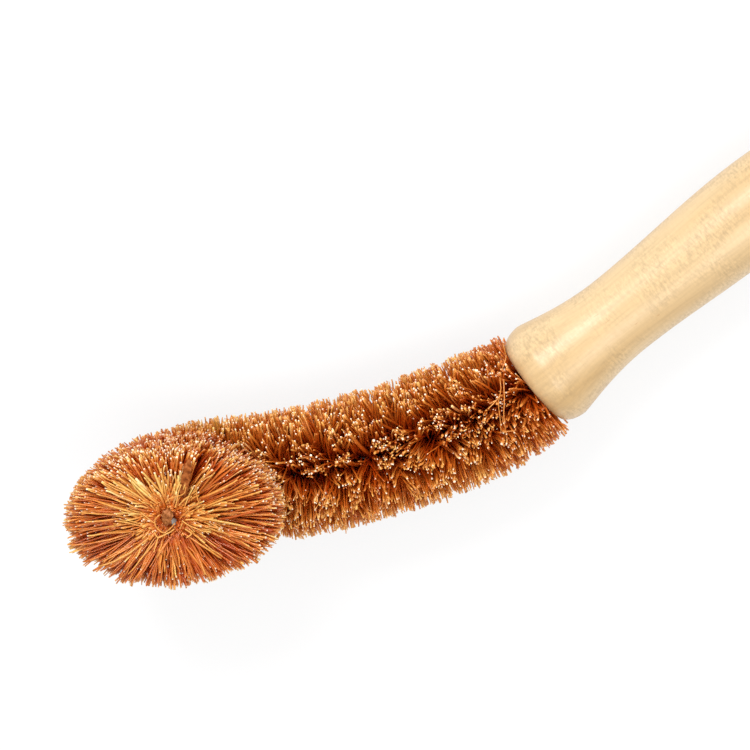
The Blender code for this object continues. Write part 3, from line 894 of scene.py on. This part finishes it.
# How deep the loose strands count for their painted shade
STRAND_SHADE_DEPTH = 0.0014
STRAND_LIFT = 0.0004
ROUTE_SAMPLES = 300
FLAKE_LINE = [
    (189.2, 461.3, 38.2), (187.2, 468.5, 38.0), (185.8, 478.0, 37.5), (184.0, 488.0, 36.4),
    (181.8, 498.0, 34.6),
]
FLAKE_WIDTHS = (0.0007, 0.0023, 0.0027, 0.0022, 0.0012)
FLAKE_THICKNESS = 0.0003
FLAKE_HOLLOW_SHARE = 0.175
FLAKE_RAGGEDNESS = 0.00006
FLAKE_RINGS = 16
FLAKE_COLUMNS = 5
FLAKE_SHADE = (0.80, 0.75, 0.70)
KNOB_PLACE = (167.6, 516.6, 33.3)
KNOB_SIZE = (0.0015, 0.0021, 0.0013)
KNOB_LUMP_HEIGHT = 0.35
KNOB_LUMP_SCALES = (1.9, 4.5)
KNOB_SUBDIVISIONS = 4
KNOB_SHADE = (0.95, 1.20, 1.9)


def smooth_line(points, count):
    """A smooth line through points, given again by evenly spread points."""
    padded = np.concatenate([2 * points[:1] - points[1:2], points, 2 * points[-1:] - points[-2:-1]])
    places = np.linspace(0, len(points) - 1, count)
    start = np.minimum(places.astype(int), len(points) - 2)
    share = (places - start)[:, None]
    before, first, second, after = (padded[start + step] for step in range(4))
    return first + share / 2 * (
        second - before
        + share * (2 * before - 5 * first + 4 * second - after)
        + share**2 * (3 * first - 3 * second + after - before)
    )


def seated_on_stem(points):
    """Points, moved in where they'd be further from the wire than the stem's fibres reach."""
    distance = np.linspace(0, BEND_START, ROUTE_SAMPLES)
    route = wire_frames(distance)[0]
    nearest = np.argmin(np.linalg.norm(points[..., None, :] - route, axis=-1), axis=-1)
    away = points - route[nearest]
    most = STEM_REACH * (1 - neck_narrowing(distance))[nearest] + STRAND_LIFT
    share = np.minimum(most / np.linalg.norm(away, axis=-1), 1)
    return route[nearest] + share[..., None] * away


def seated_on_head(points):
    """Points, lowered where they'd be above the head's trimmed front."""
    height = np.minimum(points[..., 2], HEAD_FOOT[2] + front_height(points) + STRAND_LIFT)
    return np.concatenate([points[..., :2], height[..., None]], axis=-1)


def make_strands(name, lines, thickness, tint, material, seated):
    """Loose strands along lines of places, seated on the fibres below them."""
    points = np.stack([smooth_line(on_photo(line), STRAND_RINGS) for line in lines])
    points = to_world(seated(from_world(points)))
    count = len(lines)
    radius = thickness / 2 * rng.uniform(*STRAND_THICKNESS_SHARES, count)
    tints = np.clip(rng.normal(tint, STRAND_TINT_SPREAD, count), 0, 1)
    # Painted shade: the strands are darkened as if they lay this deep in the filling
    depth = np.full((count, STRAND_RINGS), STRAND_SHADE_DEPTH)
    mesh = tube_mesh(name, points, radius, tints, depth, HEAD_PALE_SHARE, STRAND_SIDES)
    add_piece(name, mesh, material)


def make_flake(material):
    """A pointed flake of the palm's sheath, a little hollow, standing among the head's fibres."""
    rings, count = FLAKE_RINGS, FLAKE_COLUMNS
    line = to_world(seated_on_head(from_world(smooth_line(on_photo(FLAKE_LINE), rings))))
    known = np.linspace(0, 1, len(FLAKE_WIDTHS))
    width = np.interp(np.linspace(0, 1, rings), known, FLAKE_WIDTHS)
    normal = BRUSH_MATRIX[:3, 2]
    along = unit(np.gradient(line, axis=0))
    across = unit(np.cross(along, normal))
    vertices = []
    for side in (1, -1):
        for column in np.linspace(-0.5, 0.5, count):
            edge = line + column * width[:, None] * across
            edge = edge + rng.normal(0, FLAKE_RAGGEDNESS, (rings, 1)) * across
            hollow = FLAKE_HOLLOW_SHARE * (4 * column**2 - 1) * width[:, None]
            vertices.append(edge + (hollow + side * FLAKE_THICKNESS / 2) * normal)
    under = count * rings
    grid = np.arange(under).reshape(count, rings)
    top = np.stack([grid[:-1, :-1], grid[1:, :-1], grid[1:, 1:], grid[:-1, 1:]], axis=-1)
    top = top.reshape(-1, 4)
    rim = np.concatenate([grid[0, :-1], grid[:-1, -1], grid[-1, :0:-1], grid[:0:-1, 0]])
    following = np.roll(rim, -1)
    walls = np.stack([rim, following, following + under, rim + under], axis=-1)
    faces = np.concatenate([top, top[:, ::-1] + under, walls])
    mesh = bpy.data.meshes.new("sheath_flake")
    mesh.from_pydata(np.concatenate(vertices).tolist(), [], faces.tolist())
    mesh.shade_smooth()
    add_piece("sheath_flake", mesh, material)


def make_knob(material):
    """A lump of bark that is caught at the wire's end."""
    bm = bmesh.new()
    bmesh.ops.create_icosphere(bm, subdivisions=KNOB_SUBDIVISIONS, radius=1.0)
    right, up, back = photo_axes()
    centre = Vector(on_photo([KNOB_PLACE])[0])
    for vert in bm.verts:
        lumps = sum(noise.noise(vert.co * scale) for scale in KNOB_LUMP_SCALES)
        rough = 1 + KNOB_LUMP_HEIGHT * lumps
        across, above, toward = (rough * vert.co[axis] * KNOB_SIZE[axis] for axis in range(3))
        vert.co = centre + across * right + above * up + toward * back
    mesh = bpy.data.meshes.new("bark_knob")
    bm.to_mesh(mesh)
    bm.free()
    mesh.shade_smooth()
    add_piece("bark_knob", mesh, material)


# Handle

HANDLE_SIDES = 112
PROFILE_STEPS = 24
BORE_CHAMFER = 0.0004
SHARP_ANGLE = math.radians(50)


def quarter_ellipse(start, end):
    """Profile points from start to end on a quarter of an ellipse."""
    angle = math.pi / 2 * np.arange(PROFILE_STEPS + 1) / PROFILE_STEPS
    station = end[0] + (start[0] - end[0]) * np.cos(angle)
    radius = start[1] + (end[1] - start[1]) * np.sin(angle)
    return np.stack([station, radius], axis=-1)


def eased(start, end, skew=1.0):
    """Profile points after start up to end, on an S curve that skew moves towards either."""
    share = np.arange(1, PROFILE_STEPS + 1) / PROFILE_STEPS
    bent = share**skew
    rise = bent * bent * (3 - 2 * bent)
    station = start[0] + (end[0] - start[0]) * share
    return np.stack([station, start[1] + (end[1] - start[1]) * rise], axis=-1)


def handle_profile():
    """(station, radius) points from the bore's end, out over the front and back to the butt."""
    front = (FRONT_STATION, FRONT_RADIUS)
    waist = (WAIST_STATION, WAIST_RADIUS)
    grip = (GRIP_STATION, GRIP_RADIUS)
    bore = [(BORE_DEPTH, 0.0), (BORE_DEPTH, BORE_RADIUS), (BORE_CHAMFER, BORE_RADIUS)]
    edge = [(0.0, BORE_RADIUS + BORE_CHAMFER)]
    face = quarter_ellipse((0.0, FRONT_RADIUS - FRONT_EDGE_DEPTH), front)
    flare = eased(front, waist, FLARE_SKEW)
    swell = eased(waist, grip)
    end = quarter_ellipse((HANDLE_LENGTH, BUTT_FLAT_RADIUS), grip)[-2::-1]
    centre = [(HANDLE_LENGTH, 0.0)]
    return np.concatenate([bore, edge, face, flare, swell, end, centre])


def make_handle(material):
    """The handle as a finely turned piece, with the place of its grain kept at each point."""
    sides = HANDLE_SIDES
    profile = handle_profile()
    angle = 2 * math.pi * np.arange(sides) / sides
    rings = [
        np.stack([np.full(sides, station), radius * np.cos(angle), radius * np.sin(angle)], axis=-1)
        for station, radius in profile[1:-1]
    ]
    vertices = np.concatenate([[[profile[0][0], 0, 0]], *rings, [[profile[-1][0], 0, 0]]])
    faces = []
    last = len(rings) - 1
    for corner in range(sides):
        following = (corner + 1) % sides
        faces.append((0, 1 + corner, 1 + following))
        for ring in range(last):
            low, high = 1 + ring * sides, 1 + (ring + 1) * sides
            faces.append((low + corner, high + corner, high + following, low + following))
        end = 1 + last * sides
        faces.append((len(vertices) - 1, end + following, end + corner))
    mesh = bpy.data.meshes.new("handle_turned")
    mesh.from_pydata(to_world(vertices).tolist(), [], faces)
    mesh.shade_smooth()
    mesh.set_sharp_from_angle(angle=SHARP_ANGLE)
    grain = mesh.attributes.new("grain", "FLOAT_VECTOR", "POINT")
    grain.data.foreach_set("vector", vertices.ravel().astype(np.float32))
    piece = add_piece("handle_turned", mesh, material)
    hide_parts("handle")


# Core wire

WIRE_STEPS_PER_TURN = 16
FOLD_STEPS = 12
WIRE_ROUNDNESS = 4


def make_wire(material):
    """The folded and twisted wire as one round curve, down one strand and back up the other."""
    fold_centre = -(FOLD_END - TWIST_RADIUS - WIRE_DIAMETER / 2)
    steps = round((WIRE_END - fold_centre) / TWIST_PITCH * WIRE_STEPS_PER_TURN)
    distance = np.linspace(fold_centre, WIRE_END, steps + 1)
    point, tangent, inward, sideways = wire_frames(distance)
    angle = 2 * math.pi * (distance - fold_centre)[:, None] / TWIST_PITCH
    arm = TWIST_RADIUS * (np.cos(angle) * inward + np.sin(angle) * sideways)
    round_fold = np.linspace(0, math.pi, FOLD_STEPS + 1)[1:-1, None]
    fold_arm = np.cos(round_fold) * inward[0] - np.sin(round_fold) * tangent[0]
    fold = point[0] + TWIST_RADIUS * fold_arm
    route = to_world(np.concatenate([(point + arm)[::-1], fold, point - arm]))
    curve = bpy.data.curves.new("core_wire_strands", "CURVE")
    curve.dimensions = "3D"
    curve.bevel_depth = WIRE_DIAMETER / 2
    curve.bevel_resolution = WIRE_ROUNDNESS
    curve.use_fill_caps = True
    spline = curve.splines.new("POLY")
    spline.points.add(len(route) - 1)
    spline.points.foreach_set("co", np.column_stack([route, np.ones(len(route))]).ravel())
    spline.use_smooth = True
    piece = add_piece("core_wire_strands", curve, material)
    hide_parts("core_wire")


# Floor, light and camera

FLOOR_SIZE = 6.0
FLOOR_COLOUR = (0.80, 0.80, 0.80, 1.0)
FLOOR_GLOW_SHARE = 0.70
WORLD_COLOUR = (1.0, 1.0, 1.0, 1.0)
WORLD_STRENGTH = 0.95
# A lamp's name, its metres to the photograph's right, up and toward the camera, its size in
# metres and its watts
LAMPS = [
    ("key_lamp", (-0.30, 0.46, 0.85), 0.40, 7.1),
    ("fill_lamp", (0.30, -0.45, 0.90), 0.5, 3.9),
]
CLIP_START = 0.01
SENSOR_WIDTH = 0.036


def make_floor():
    """A pale floor that looks white, with the object's shadow, and reflects as it looks."""
    mesh = bpy.data.meshes.new("floor")
    half = FLOOR_SIZE / 2
    corners = [(-half, -half, 0), (half, -half, 0), (half, half, 0), (-half, half, 0)]
    mesh.from_pydata(corners, [], [(0, 1, 2, 3)])
    shader = Shader("floor")
    shader.set(Base_Color=FLOOR_COLOUR, Roughness=0.9, Specular_IOR_Level=0.1)
    rays = shader.node("ShaderNodeLightPath").outputs
    seen = shader.math("MAXIMUM", rays["Is Camera Ray"], rays["Is Glossy Ray"])
    seen = shader.math("MAXIMUM", seen, rays["Is Transmission Ray"])
    factor = shader.math("MULTIPLY", seen, FLOOR_GLOW_SHARE)
    glow = shader.node("ShaderNodeEmission")
    blend = shader.node("ShaderNodeMixShader")
    shader.link(factor, blend.inputs["Fac"])
    shader.link(shader.principled.outputs["BSDF"], blend.inputs[1])
    shader.link(glow.outputs["Emission"], blend.inputs[2])
    output = shader.tree.nodes["Material Output"]
    shader.link(blend.outputs["Shader"], output.inputs["Surface"])
    mesh.materials.append(shader.material)
    floor = bpy.data.objects.new("floor", mesh)
    bpy.context.scene.collection.objects.link(floor)


def make_camera():
    """The camera at the photograph's viewing angle."""
    right, up, back = photo_axes()
    data = bpy.data.cameras.new("camera")
    data.sensor_width = SENSOR_WIDTH * MILLIMETRES_PER_METRE
    data.lens = data.sensor_width * CAMERA_DISTANCE / (PHOTO_SIZE * METRES_PER_PIXEL)
    data.clip_start = CLIP_START
    camera = bpy.data.objects.new("camera", data)
    bpy.context.scene.collection.objects.link(camera)
    turn = Matrix((right, up, back)).transposed().to_4x4()
    camera.matrix_world = Matrix.Translation(camera_target() + CAMERA_DISTANCE * back) @ turn
    bpy.context.scene.camera = camera


def area_lamp(name, place, size, watts):
    """A square lamp, placed as LAMPS says, that shines at the middle of the brush."""
    right, up, back = photo_axes()
    place = place[0] * right + place[1] * up + place[2] * back
    data = bpy.data.lights.new(name, "AREA")
    data.shape = "SQUARE"
    data.size = size
    data.energy = watts
    lamp = bpy.data.objects.new(name, data)
    bpy.context.scene.collection.objects.link(lamp)
    lamp.location = place
    lamp.rotation_euler = (-place).to_track_quat("-Z", "Y").to_euler()


def make_light():
    """Plain soft studio light: a white world and two lamps."""
    world = bpy.data.worlds.new("studio")
    world.use_nodes = True
    background = world.node_tree.nodes["Background"]
    background.inputs["Color"].default_value = WORLD_COLOUR
    background.inputs["Strength"].default_value = WORLD_STRENGTH
    bpy.context.scene.world = world
    for lamp in LAMPS:
        area_lamp(*lamp)


def main():
    fibre = fibre_material()
    make_camera()
    make_light()
    make_floor()
    make_fibres(fibre)
    head_look = (HEAD_STRAND_THICKNESS, HEAD_STRAND_TINT, fibre)
    stem_look = (STEM_STRAND_THICKNESS, STEM_STRAND_TINT, fibre)
    make_strands("head_strands", HEAD_STRANDS, *head_look, seated_on_head)
    make_strands("stem_strands", STEM_STRANDS, *stem_look, seated_on_stem)
    make_flake(bark_material("palm_sheath", FLAKE_SHADE))
    make_knob(bark_material("palm_bark", KNOB_SHADE))
    make_handle(wood_material())
    make_wire(steel_material())
    adhesive = frame["nodes"]["adhesive"]
    adhesive.data.materials.clear()
    adhesive.data.materials.append(adhesive_material())
    bpy.context.scene.view_settings.view_transform = "Standard"


main()
